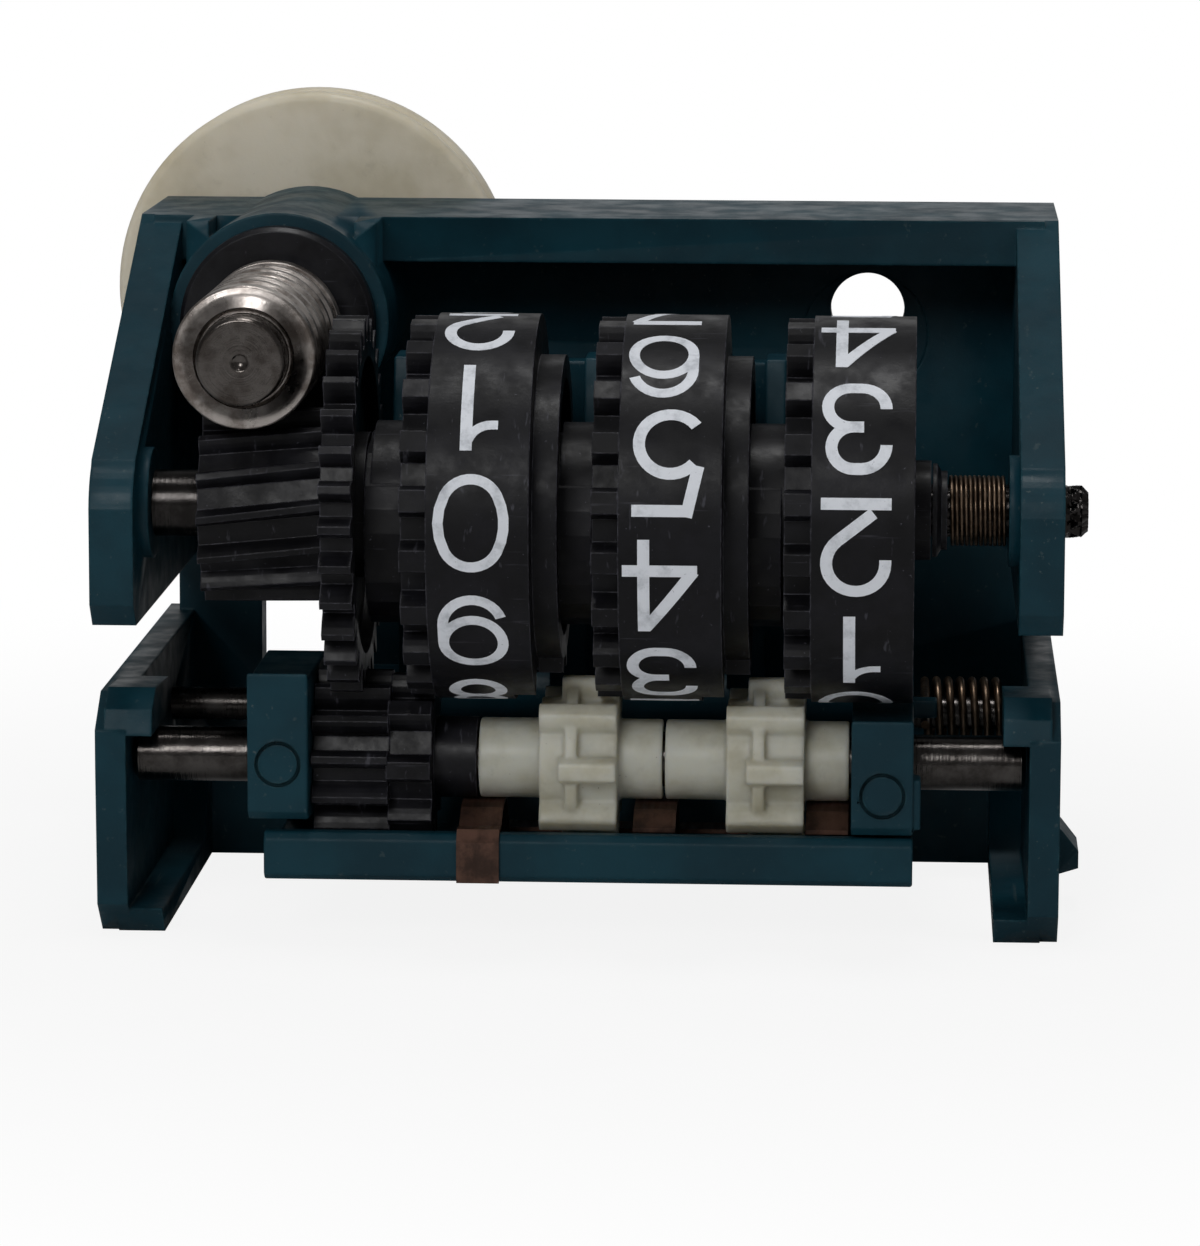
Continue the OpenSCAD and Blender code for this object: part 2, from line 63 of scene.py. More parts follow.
class Look:
    # a material and short calls for the nodes used again and again
    # every pattern reads Object coordinates

    def __init__(self, name, **sockets):
        self.mat = bpy.data.materials.new(name)
        self.mat.use_nodes = True
        self.tree = self.mat.node_tree
        self.shader = self.tree.nodes["Principled BSDF"]
        self.coords = self.add("ShaderNodeTexCoord").outputs["Object"]
        for socket, value in sockets.items():
            self.shader.inputs[socket.replace("_", " ")].default_value = value

    def add(self, kind):
        return self.tree.nodes.new(kind)

    def link(self, a, b):
        self.tree.links.new(a, b)

    def place(self, location=(0, 0, 0), rotation=(0, 0, 0), scale=(1, 1, 1)):
        node = self.add("ShaderNodeMapping")
        node.inputs["Location"].default_value = location
        node.inputs["Rotation"].default_value = rotation
        node.inputs["Scale"].default_value = scale
        self.link(self.coords, node.inputs["Vector"])
        return node.outputs["Vector"]

    def noise(self, size, detail=3, rough=0.55, vector=None, distortion=0.0):
        # size is the width of the pattern in millimetres
        node = self.add("ShaderNodeTexNoise")
        node.inputs["Scale"].default_value = 1 / (size * mm)
        node.inputs["Detail"].default_value = detail
        node.inputs["Roughness"].default_value = rough
        node.inputs["Distortion"].default_value = distortion
        self.link(vector or self.coords, node.inputs["Vector"])
        return node.outputs["Fac"]

    def curve(self, value, low, high, outLow=0.0, outHigh=1.0):
        node = self.add("ShaderNodeMapRange")
        node.interpolation_type = "SMOOTHSTEP"
        limits = {"From Min": low, "From Max": high, "To Min": outLow, "To Max": outHigh}
        for socket, number in limits.items():
            node.inputs[socket].default_value = number
        self.link(value, node.inputs["Value"])
        return node.outputs["Result"]

    def maths(self, operation, a, b=None):
        node = self.add("ShaderNodeMath")
        node.operation = operation
        for socket, value in zip(node.inputs, (a, b)):
            if value is None:
                continue
            if isinstance(value, (int, float)):
                socket.default_value = value
            else:
                self.link(value, socket)
        return node.outputs[0]

    def mix(self, factor, a, b):
        node = self.add("ShaderNodeMix")
        node.data_type = "RGBA"
        for socket, value in zip((node.inputs[0], node.inputs[6], node.inputs[7]), (factor, a, b)):
            if isinstance(value, (tuple, int, float)):
                socket.default_value = value
            else:
                self.link(value, socket)
        return node.outputs[2]

    def rounded(self, radius):
        # the normal of a moulded corner, so that sharp edges catch light along a soft line
        node = self.add("ShaderNodeBevel")
        node.samples = 6
        node.inputs["Radius"].default_value = radius * mm
        return node.outputs["Normal"]

    def edges(self, radius, low=0.02, high=0.3):
        # 1 on corners, 0 on flat faces: a rounded normal against the true one
        flat = self.add("ShaderNodeNewGeometry")
        dot = self.add("ShaderNodeVectorMath")
        dot.operation = "DOT_PRODUCT"
        self.link(self.rounded(radius), dot.inputs[0])
        self.link(flat.outputs["Normal"], dot.inputs[1])
        return self.curve(self.maths("SUBTRACT", 1.0, dot.outputs["Value"]), low, high)

    def bump(self, height, depth, strength=1.0, before=None):
        node = self.add("ShaderNodeBump")
        node.inputs["Distance"].default_value = depth * mm
        node.inputs["Strength"].default_value = strength
        self.link(height, node.inputs["Height"])
        if before is not None:
            self.link(before, node.inputs["Normal"])
        return node.outputs["Normal"]

    def finish(self, colour=None, roughness=None, normal=None):
        for value, socket in ((colour, "Base Color"), (roughness, "Roughness"), (normal, "Normal")):
            if value is not None:
                self.link(value, self.shader.inputs[socket])
        return self.mat


# colours as read off a screen
# worn is the tone of the lighter edges, partly real wear and partly a painted highlight along every
# corner; on the black it also colours handling lines and specks
tealFinish = {"deep": (10, 46, 57), "lit": (15, 58, 70), "worn": (48, 88, 98), "dust": (84, 96, 96)}
blackFinish = {"deep": (12, 12, 15), "lit": (23, 23, 28), "gearLit": (30, 30, 34),
               "worn": (100, 100, 110)}
ivoryFinish = {"clean": (203, 202, 189), "aged": (176, 172, 152), "grime": (120, 112, 94)}
# the pulley's ivory is painted lighter than the pinions': painted light, because the pulley sits high in
# the light while the pinions lie in shade
litPulleyFinish = {"clean": (224, 216, 197), "aged": (200, 190, 165), "grime": (150, 138, 112)}
steelFinish = {"bright": (188, 181, 176), "dull": (118, 109, 103)}
# the shafts' steel is painted dark as painted shade: low in the housing they lie in shade and show dark
# reflections
paintedShadeSteel = {"bright": (84, 81, 79), "dull": (58, 55, 53)}
# the wheel shaft's steel is painted darker still, as painted shade for where it lies in shadow
shadedSteel = {"bright": (58, 56, 55), "dull": (40, 38, 37)}
springFinish = {"bright": (124, 106, 90), "dull": (76, 62, 50)}
copperFinish = {"bright": (108, 80, 68), "dull": (62, 48, 42)}
printFinish = {"clean": (230, 234, 241), "thin": (174, 179, 186)}


def tealPlastic():
    look = Look("teal_plastic", Specular_IOR_Level=0.19)
    cloud = look.curve(look.noise(4.0, 4), 0.35, 0.7)
    body = look.mix(cloud, linear(*tealFinish["deep"]), linear(*tealFinish["lit"]))
    # lighter corners broken up by noise: partly rubbed wear, partly a painted edge highlight
    edgeWearAndSheen = look.curve(look.noise(0.5, 4, 0.7), 0.42, 0.66, 0.15, 0.9)
    edge = look.maths("MULTIPLY", look.edges(0.16), edgeWearAndSheen)
    body = look.mix(edge, body, linear(*tealFinish["worn"]))
    specks = look.curve(look.noise(0.16, 2, 0.5), 0.69, 0.76, 0.0, 0.8)
    patches = look.curve(look.noise(5.5, 3), 0.44, 0.64)
    dusty = look.maths("MULTIPLY", specks, patches)
    scratch = look.noise(0.35, 3, 0.6, look.place(rotation=(0.3, 0.2, 0.9), scale=(1, 0.05, 1)))
    scuffs = look.curve(scratch, 0.66, 0.74, 0.0, 0.28)
    body = look.mix(look.maths("MAXIMUM", dusty, scuffs), body, linear(*tealFinish["dust"]))
    grain = look.noise(0.11, 3, 0.6)
    rough = look.curve(look.noise(1.3, 4, 0.6), 0.3, 0.75, 0.36, 0.58)
    normal = look.bump(look.noise(2.6, 2), 0.014, 0.5, look.rounded(0.14))
    normal = look.bump(grain, 0.008, 0.6, normal)
    return look.finish(body, rough, normal)


def blackPlastic(name, lit, roughLow, roughHigh):
    look = Look(name, Specular_IOR_Level=0.19)
    cloud = look.curve(look.noise(2.2, 5, 0.6), 0.38, 0.72)
    body = look.mix(cloud, linear(*blackFinish["deep"]), linear(*lit))
    # lighter corners broken up by noise: partly rubbed wear, partly a painted edge highlight
    edgeWearAndSheen = look.curve(look.noise(0.35, 4, 0.7), 0.4, 0.62, 0.1, 0.8)
    edge = look.maths("MULTIPLY", look.edges(0.1), edgeWearAndSheen)
    body = look.mix(edge, body, linear(*blackFinish["worn"]))
    # fine lines left by handling, along and across the wheels
    along = look.noise(0.3, 3, 0.6, look.place(rotation=(0.5, 0.1, 0.2), scale=(1, 0.06, 0.3)))
    across = look.noise(0.25, 3, 0.6, look.place(rotation=(0.1, 0.5, 0.8), scale=(0.07, 1, 1)))
    along = look.curve(along, 0.64, 0.74, 0, 0.3)
    across = look.curve(across, 0.66, 0.75, 0, 0.22)
    lines = look.maths("MAXIMUM", along, across)
    specks = look.curve(look.noise(0.13, 2), 0.72, 0.78, 0, 0.5)
    body = look.mix(look.maths("MAXIMUM", lines, specks), body, linear(*blackFinish["worn"]))
    rough = look.curve(look.noise(0.9, 4, 0.6), 0.3, 0.75, roughLow, roughHigh)
    normal = look.bump(look.noise(1.7, 2), 0.03, 0.45, look.rounded(0.07))
    normal = look.bump(look.noise(0.1, 3), 0.006, 0.6, normal)
    return look.finish(body, rough, normal)


def ivoryPlastic(name, tones, milky, cloudSize):
    # milky is the share of light that wanders through the plastic
    look = Look(name, Subsurface_Weight=milky, Subsurface_Scale=1.3 * mm, Specular_IOR_Level=0.4)
    look.shader.inputs["Subsurface Radius"].default_value = (1.0, 0.85, 0.6)
    cloud = look.curve(look.noise(cloudSize, 4, 0.6), 0.36, 0.7)
    body = look.mix(cloud, linear(*tones["clean"]), linear(*tones["aged"]))
    dirt = look.maths("MULTIPLY", look.curve(look.noise(0.14, 2), 0.7, 0.76, 0, 0.8),
                      look.curve(look.noise(1.6, 3), 0.48, 0.66))
    film = look.curve(look.noise(1.1, 5, 0.7), 0.55, 0.85, 0, 0.35)
    body = look.mix(look.maths("MAXIMUM", dirt, film), body, linear(*tones["grime"]))
    rough = look.curve(look.noise(0.8, 4), 0.3, 0.75, 0.34, 0.55)
    normal = look.bump(look.noise(1.4, 2), 0.02, 0.4, look.rounded(0.16))
    normal = look.bump(look.noise(0.12, 3), 0.006, 0.6, normal)
    return look.finish(body, rough, normal)


def turnedSteel(name, axis, along, tones, roughLow, roughHigh, ringSize=0.12, noseR=0):
    # rings round a turned part: the pattern reads the distance from its axis and the place along it
    look = Look(name, Metallic=1.0)
    centre = look.place(location=tuple(-c for c in axis))
    parts = look.add("ShaderNodeSeparateXYZ")
    look.link(centre, parts.inputs[0])
    names = [n for n in "XYZ" if n != along]
    squares = [look.maths("MULTIPLY", parts.outputs[n], parts.outputs[n]) for n in names]
    radius = look.maths("SQRT", look.maths("ADD", *squares))
    track = look.maths("ADD", radius, parts.outputs[along])
    spread = look.add("ShaderNodeCombineXYZ")
    look.link(track, spread.inputs[0])
    rings = look.noise(ringSize, 3, 0.7, spread.outputs[0])
    stain = look.curve(look.noise(1.3, 5, 0.68), 0.38, 0.66)
    colour = look.mix(stain, linear(*tones["bright"]), linear(*tones["dull"]))
    if noseR:
        # the raised nose is coloured darker than the collar round it
        inside = look.curve(radius, noseR * mm, (noseR + 0.12) * mm, 0.8, 0)
        colour = look.mix(inside, colour, linear(*[c * 0.38 for c in tones["dull"]]))
    pits = look.curve(look.noise(0.17, 3, 0.6), 0.66, 0.74, 0, 0.35)
    colour = look.mix(pits, colour, linear(*[c * 0.55 for c in tones["dull"]]))
    rough = look.curve(look.noise(0.7, 4, 0.6), 0.3, 0.72, roughLow, roughHigh)
    if noseR:
        smoother = look.curve(radius, noseR * mm, (noseR + 0.12) * mm, 0.14, 0)
        rough = look.maths("SUBTRACT", rough, smoother)
    normal = look.bump(rings, 0.014, 0.9)
    normal = look.bump(look.noise(0.26, 4, 0.7), 0.012, 0.7, normal)
    return look.finish(colour, rough, normal)


def drawnWire():
    look = Look("drawn_wire", Metallic=1.0)
    stain = look.curve(look.noise(0.6, 4, 0.6), 0.35, 0.7)
    colour = look.mix(stain, linear(*springFinish["bright"]), linear(*springFinish["dull"]))
    rough = look.curve(look.noise(0.4, 3), 0.3, 0.7, 0.28, 0.5)
    normal = look.bump(look.noise(0.06, 3), 0.004, 0.6)
    return look.finish(colour, rough, normal)


def bronzeStrip():
    look = Look("bronze_strip", Metallic=0.85)
    stain = look.curve(look.noise(1.2, 5, 0.65), 0.35, 0.68)
    colour = look.mix(stain, linear(*copperFinish["bright"]), linear(*copperFinish["dull"]))
    streaks = look.noise(0.2, 4, 0.6, look.place(scale=(1, 0.08, 0.08)))
    rough = look.curve(streaks, 0.3, 0.7, 0.38, 0.6)
    normal = look.bump(streaks, 0.004, 0.7)
    return look.finish(colour, rough, normal)


def padPrint():
    look = Look("white_print", Specular_IOR_Level=0.3)
    thin = look.curve(look.noise(0.8, 5, 0.65), 0.46, 0.74, 0, 0.8)
    chips = look.curve(look.noise(0.12, 2), 0.69, 0.75, 0, 0.7)
    worn = look.maths("MAXIMUM", thin, chips)
    colour = look.mix(worn, linear(*printFinish["clean"]), linear(*printFinish["thin"]))
    rough = look.curve(look.noise(0.3, 3), 0.3, 0.7, 0.5, 0.7)
    normal = look.bump(look.noise(0.09, 3), 0.005, 0.6)
    return look.finish(colour, rough, normal)


teal = tealPlastic()
wheelBlack = blackPlastic("wheel_plastic", blackFinish["lit"], 0.34, 0.56)
gearBlack = blackPlastic("gear_plastic", blackFinish["gearLit"], 0.3, 0.52)
ivory = ivoryPlastic("ivory_plastic", ivoryFinish, 0.65, 2.4)
# the pulley carries the lighter ivory, which is painted light
litPulleyIvory = ivoryPlastic("lit_pulley_plastic", litPulleyFinish, 0.25, 5.0)
wormSteel = turnedSteel("worm_steel", wormAxis, "Y", steelFinish, 0.26, 0.46, noseR=1.5)
# the wheel shaft carries the steel that is painted dark as painted shade
shadedWheelShaftSteel = turnedSteel("shaded_wheel_shaft_steel", wheelAxis, "X", shadedSteel, 0.16, 0.26)
# the pinion shaft and the pivot pin carry the steel that is painted dark as painted shade
shadedPinionShaftSteel = turnedSteel("shaded_pinion_shaft_steel", pinionAxis, "X", paintedShadeSteel, 0.16, 0.26)
shadedPivotSteel = turnedSteel("shaded_pivot_steel", pivotAxis, "X", paintedShadeSteel, 0.2, 0.34)
wire = drawnWire()
bronze = bronzeStrip()
whitePrint = padPrint()
print("finishes made")


# mesh helpers

def makePiece(name, bm, material, body):
    bmesh.ops.recalc_face_normals(bm, faces=bm.faces)
    mesh = bpy.data.meshes.new(name)
    bm.to_mesh(mesh)
    bm.free()
    mesh.materials.append(material)
    piece = bpy.data.objects.new(name, mesh)
    bpy.context.scene.collection.objects.link(piece)
    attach(piece, body)
    return piece


def shade(piece, degrees=35):
    piece.data.shade_smooth()
    piece.data.set_sharp_from_angle(angle=math.radians(degrees))


def addBevel(piece, width, segments=2, degrees=30):
    bevel = piece.modifiers.new("soft_edges", "BEVEL")
    bevel.width = width * mm
    bevel.segments = segments
    bevel.limit_method = "ANGLE"
    bevel.angle_limit = math.radians(degrees)
    bevel.harden_normals = True
    bevel.use_clamp_overlap = False


def softCopy(nodeName, material, body, width=0):
    # a merged copy of a CAD node, smooth on its curved faces
    # with a width its corners are cut round too
    bm = bmesh.new()
    bm.from_mesh(nodes[nodeName].data)
    bmesh.ops.remove_doubles(bm, verts=bm.verts, dist=0.004 * mm)
    if width:
        bmesh.ops.dissolve_limit(bm, angle_limit=math.radians(0.6), verts=bm.verts, edges=bm.edges)
    piece = makePiece(nodeName + "_soft", bm, material, body)
    shade(piece, 18)
    if width:
        addBevel(piece, width, 3, 50)
    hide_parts(nodeName)


def mouldedCopy(nodeName, material, body, s):
    # a merged copy with every corner rounded, as on a nylon moulding; it is worked on in
    # millimetres, because the remesh step can't be this fine in metres
    bm = bmesh.new()
    bm.from_mesh(nodes[nodeName].data)
    bmesh.ops.remove_doubles(bm, verts=bm.verts, dist=0.004 * mm)
    bmesh.ops.scale(bm, vec=(1000, 1000, 1000), verts=bm.verts)
    sharp = bpy.data.meshes.new("sharp")
    bm.to_mesh(sharp)
    bm.free()
    worked = bpy.data.objects.new("worked", sharp)
    bpy.context.scene.collection.objects.link(worked)
    even = worked.modifiers.new("even", "REMESH")
    even.mode = "VOXEL"
    even.voxel_size = s["step"]
    soft = worked.modifiers.new("soft", "SMOOTH")
    soft.factor = 0.5
    soft.iterations = s["rounds"]
    # a hair slimmer, so that the rounding never stands out past the CAD surface
    slim = worked.modifiers.new("slim", "DISPLACE")
    slim.mid_level = 0
    slim.strength = -s["slim"]
    fewer = worked.modifiers.new("fewer", "DECIMATE")
    fewer.ratio = s["keep"]
    scene = bpy.context.evaluated_depsgraph_get()
    rounded = bpy.data.meshes.new_from_object(worked.evaluated_get(scene))
    bpy.data.objects.remove(worked)
    bpy.data.meshes.remove(sharp)
    bm = bmesh.new()
    bm.from_mesh(rounded)
    bpy.data.meshes.remove(rounded)
    bmesh.ops.scale(bm, vec=(mm, mm, mm), verts=bm.verts)
    piece = makePiece(nodeName + "_soft", bm, material, body)
    piece.data.shade_smooth()
    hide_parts(nodeName)
    print(nodeName, "rounded,", len(piece.data.polygons), "faces")


def paint(nodeName, material):
    data = nodes[nodeName].data
    data.materials.clear()
    data.materials.append(material)


# worm: one lathe profile, then the thread on its core

wormTurned = {
    "tipY": -4.7, "faceY": -3.5, "threadFrontY": -2.6, "threadBackY": 5.0, "backY": 5.8, "seatY": 6.98,
    "endY": 24.0, "noseR": 1.5, "collarR": 2.43, "coreR": 2.0, "journalR": 1.8, "shaftR": 1.0,
    "centreR": 0.3, "centreDeep": 0.28, "reliefR": 1.62, "reliefDeep": 0.16, "chamfer": 0.16,
    "coneDeep": 0.09,
    "pitch": 1.31, "threadRootWide": 1.02, "threadTipWide": 0.42, "steps": 96,
}


def turnProfile(points, axis, steps, along="Y"):
    # points are (place along the axis, radius); the first and last sit on the axis
    bm = bmesh.new()
    verts = []
    for place, radius in points:
        if along == "Y":
            co = Vector((axis.x, axis.y + place * mm, axis.z + radius * mm))
        else:
            co = Vector((axis.x + place * mm, axis.y, axis.z + radius * mm))
        verts.append(bm.verts.new(co))
    edges = [bm.edges.new(pair) for pair in zip(verts, verts[1:])]
    turn = Vector((0, 1, 0)) if along == "Y" else Vector((1, 0, 0))
    bmesh.ops.spin(bm, geom=verts + edges, cent=axis, axis=turn, angle=2 * math.pi, steps=steps,
                   use_merge=True, use_duplicate=False)
    bmesh.ops.remove_doubles(bm, verts=bm.verts, dist=0.0005 * mm)
    return bm


def makeWorm(s):
    c = s["chamfer"]
    front, back = s["faceY"], s["backY"]
    bm = turnProfile([
        (s["tipY"] + s["centreDeep"], 0), (s["tipY"], s["centreR"]), (s["tipY"], s["noseR"] - 0.1),
        (s["tipY"] + 0.1, s["noseR"]), (front + s["reliefDeep"], s["noseR"]),
        (front + s["reliefDeep"], s["reliefR"]), (front, s["reliefR"] + 0.05),
        (front, s["reliefR"] + 0.1),
        (front + s["coneDeep"], s["collarR"] - 0.05), (front + s["coneDeep"] + 0.07, s["collarR"]),
        (s["threadFrontY"], s["collarR"]), (s["threadFrontY"], s["coreR"]),
        (s["threadBackY"], s["coreR"]), (s["threadBackY"], s["collarR"]), (back, s["collarR"]),
        (back, s["journalR"]), (s["seatY"], s["journalR"]), (s["seatY"], s["shaftR"]),
        (s["endY"] - c, s["shaftR"]), (s["endY"], s["shaftR"] - c), (s["endY"], 0),
    ], wormAxis, s["steps"])
    piece = makePiece("worm_turned", bm, wormSteel, "worm_unit")
    shade(piece, 28)
    addBevel(piece, 0.05, 2, 40)
    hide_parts("worm")


def makeThread(s):
    # a ridge spun along the axis: it starts inside the front collar and ends inside the rear one
    root, tip = s["coreR"] - 0.15, s["collarR"] - 0.01
    wideRoot, wideTip = s["threadRootWide"] / 2, s["threadTipWide"] / 2
    lift = tip - s["coreR"]
    slope = (wideRoot - wideTip) / lift
    start = s["threadFrontY"] + 0.1
    length = s["threadBackY"] - 0.1 - start
    turns = length / s["pitch"]
    bm = bmesh.new()
    ring = []
    for across, radius in ((-wideRoot - slope * 0.15, root), (-wideTip, tip), (wideTip, tip),
                           (wideRoot + slope * 0.15, root)):
        ring.append(bm.verts.new(wormAxis + Vector((0, (start + across) * mm, radius * mm))))
    cap = bm.faces.new(ring)
    steps = int(turns * 48)
    bmesh.ops.spin(bm, geom=[cap] + ring + list(cap.edges), cent=wormAxis, axis=(0, 1, 0),
                   angle=-2 * math.pi * turns, steps=steps, dvec=(0, length / steps * mm, 0),
                   use_merge=False, use_duplicate=False)
    piece = makePiece("worm_thread", bm, wormSteel, "worm_unit")
    shade(piece, 30)


makeWorm(wormTurned)
makeThread(wormTurned)
print("worm done")


# wheel shaft with the crimped end seen at the right

shaftTurned = {"leftX": -16.75, "rightX": 17.35, "r": 0.9, "shoulderR": 1.15, "shoulderFrom": -14.6,
               "shoulderTo": -12.87, "endChamfer": 0.22, "crimpFrom": 16.62, "crimpDeep": 0.165,
               "crimpWaves": 4.5, "crimpSlant": 3.6, "crimpFade": 0.12, "crimpRings": 14, "steps": 72}


def makeWheelShaft(s):
    crimpTo = s["rightX"] - s["endChamfer"]
    points = [(s["leftX"], 0), (s["leftX"], s["r"] - 0.1), (s["leftX"] + 0.1, s["r"]),
              (s["shoulderFrom"], s["r"]), (s["shoulderFrom"], s["shoulderR"]),
              (s["shoulderTo"], s["shoulderR"]), (s["shoulderTo"], s["r"])]
    for i in range(s["crimpRings"] + 1):
        points.append((s["crimpFrom"] + (crimpTo - s["crimpFrom"]) * i / s["crimpRings"], s["r"]))
    points += [(s["rightX"], s["r"] - s["endChamfer"]), (s["rightX"], 0)]
    bm = turnProfile(points, wheelAxis, s["steps"], "X")
    for v in bm.verts:
        # slanting dents from the crimping jaws, both ways round
        x = (v.co.x - wheelAxis.x) / mm - s["crimpFrom"]
        if x < 0.03:
            continue
        arm = Vector((0, v.co.y - wheelAxis.y, v.co.z - wheelAxis.z))
        if arm.length < 0.5 * mm:
            continue
        a = math.atan2(arm.z, arm.y)
        waves, slant = s["crimpWaves"] * a, s["crimpSlant"] * x
        ridge = max(abs(math.sin(waves + slant)), abs(math.sin(waves - slant))) ** 3
        fade = min(1, x / s["crimpFade"])
        v.co -= arm.normalized() * s["crimpDeep"] * mm * (1 - ridge) * fade
    piece = makePiece("wheel_shaft_turned", bm, shadedWheelShaftSteel, "frame")
    shade(piece, 32)
    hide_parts("wheel_shaft")


makeWheelShaft(shaftTurned)


# belt pulley: a plain milky face to the front, the groove round it and a dished back

pulleyTurned = {"boreR": 1.04, "frontY": 19.9, "rimR": 7.35, "hubR": 2.4, "edge": 0.34, "steps": 128,
                "groove": [(20.5, 7.35), (20.62, 7.3), (21.15, 6.32), (21.25, 6.25), (21.75, 6.25),
                           (21.85, 6.32), (22.38, 7.3), (22.5, 7.35)],
                "back": [(22.9, 7.35), (23.04, 7.29), (23.1, 7.15), (23.1, 5.95), (22.98, 5.8),
                         (21.72, 5.6), (21.7, 2.4), (22.98, 2.2), (23.1, 2.08), (23.1, 1.04)]}


def makePulley(s):
    # (place along the shaft, radius) from the bore over the face and the rim's round edge to the back
    front, edge = s["frontY"], s["edge"]
    points = [(front + 0.1, s["boreR"]), (front, s["boreR"] + 0.1), (front, s["hubR"])]
    for i in range(6):
        a = math.pi / 2 * i / 5
        points.append((front + edge * (1 - math.cos(a)), s["rimR"] - edge * (1 - math.sin(a))))
    points += s["groove"] + s["back"]
    points.append(points[0])
    bm = turnProfile(points, wormAxis, s["steps"])
    piece = makePiece("pulley_turned", bm, litPulleyIvory, "worm_unit")
    shade(piece, 32)
    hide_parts("drive_pulley")


makePulley(pulleyTurned)


# springs: a wire circle spun along its axis

axialCoil = {"fromX": 12.57, "toX": 14.63, "meanR": 1.14, "wireR": 0.07, "turns": 12, "sides": 10,
             "perTurn": 40}
carrierCoil = {"fromX": 11.75, "toX": 14.85, "meanR": 1.15, "wireR": 0.15, "turns": 6.5, "sides": 10,
               "perTurn": 40, "frontLeg": 9.3, "frontLegX": 11.9, "rearLeg": 1.95, "rearLegX": 14.7}


def makeCoil(centre, s, firstAngle):
    span = s["toX"] - s["fromX"] - 2 * s["wireR"]
    steps = int(s["turns"] * s["perTurn"])
    bm = bmesh.new()
    made = bmesh.ops.create_circle(bm, cap_ends=True, segments=s["sides"], radius=s["wireR"] * mm)
    # the wire's section starts at this angle round the axis, and spins on from there
    stand = Matrix.Rotation(firstAngle, 4, "X") @ Matrix.Translation((0, s["meanR"] * mm, 0))
    bmesh.ops.transform(bm, matrix=stand, verts=made["verts"])
    place = Matrix.Translation(Vector((centre.x + (s["fromX"] + s["wireR"]) * mm, centre.y, centre.z)))
    bmesh.ops.transform(bm, matrix=place, verts=made["verts"])
    startRing = list(bm.faces)
    bmesh.ops.spin(bm, geom=startRing + bm.verts[:] + bm.edges[:], cent=centre, axis=(1, 0, 0),
                   angle=2 * math.pi * s["turns"], steps=steps, dvec=(span / steps * mm, 0, 0),
                   use_merge=False, use_duplicate=False)
    return bm


def addLeg(bm, centre, x, z, length, radius):
    # a straight end of the wire, to the front with a length below 0
    made = bmesh.ops.create_cone(bm, cap_ends=True, segments=12, radius1=radius * mm,
                                 radius2=radius * mm, depth=abs(length) * mm)
    spot = centre + Vector((x, length / 2, z)) * mm
    lay = Matrix.Translation(spot) @ Matrix.Rotation(math.pi / 2, 4, "X")
    bmesh.ops.transform(bm, matrix=lay, verts=made["verts"])


bm = makeCoil(wheelAxis, axialCoil, 0)
piece = makePiece("axial_spring_wound", bm, wire, "frame")
shade(piece, 50)
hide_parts("axial_spring")

bm = makeCoil(pivotAxis, carrierCoil, math.pi / 2)
coilR, wireR = carrierCoil["meanR"], carrierCoil["wireR"]
addLeg(bm, pivotAxis, carrierCoil["frontLegX"], coilR, -carrierCoil["frontLeg"], wireR)
addLeg(bm, pivotAxis, carrierCoil["rearLegX"], -coilR, carrierCoil["rearLeg"], wireR)
piece = makePiece("carrier_spring_wound", bm, wire, "frame")
shade(piece, 50)
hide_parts("carrier_spring")
print("springs done")


# printed digits: each stroke is drawn flat with a pen, then wrapped on its wheel's band

printed = {
    "bandR": 6.6, "lift": 0.01, "sink": 0.03, "stroke": 0.4, "half": 1.49, "pitch": 36,
    "cutEvery": 0.3, "reach": 2.1, "arcStep": 11,
    "wheels": {
        "units": {"centreX": -3.28, "zeroAt": 2.6},
        "tens": {"centreX": 3.01, "zeroAt": -16.2 - 4 * 36},
        "hundreds": {"centreX": 9.50, "zeroAt": -3.5 - 2 * 36},
    },
}


class Pen:
    # draws a stroke as a flat band: x to the right, y up, in millimetres, its heading in degrees,
    # and turns to the left are positive

    def __init__(self, bm, x, y, heading, width):
        self.bm, self.heading = bm, heading
        self.at = Vector((x, y, 0))
        side = self.direction(90) * width / 2
        self.verts = [bm.verts.new(self.at + side), bm.verts.new(self.at - side)]
        self.edge = bm.edges.new(self.verts)

    def direction(self, turn=0):
        a = math.radians(self.heading + turn)
        return Vector((math.cos(a), math.sin(a), 0))

    def line(self, length):
        made = bmesh.ops.extrude_edge_only(self.bm, edges=[self.edge])["geom"]
        self.take(made)
        move = self.direction() * length
        bmesh.ops.translate(self.bm, vec=move, verts=self.verts)
        self.at += move
        return self

    def arc(self, radius, turn):
        centre = self.at + self.direction(90 if turn > 0 else -90) * radius
        steps = max(2, round(abs(turn) / printed["arcStep"]))
        made = bmesh.ops.spin(self.bm, geom=self.verts + [self.edge], cent=centre, axis=(0, 0, 1),
                              angle=math.radians(turn), steps=steps, use_merge=False, use_duplicate=False)
        self.take(made["geom_last"])
        self.at = centre + Matrix.Rotation(math.radians(turn), 3, "Z") @ (self.at - centre)
        self.heading += turn
        return self

    def take(self, geom):
        self.verts = [g for g in geom if isinstance(g, bmesh.types.BMVert)]
        self.edge = next(g for g in geom if isinstance(g, bmesh.types.BMEdge))


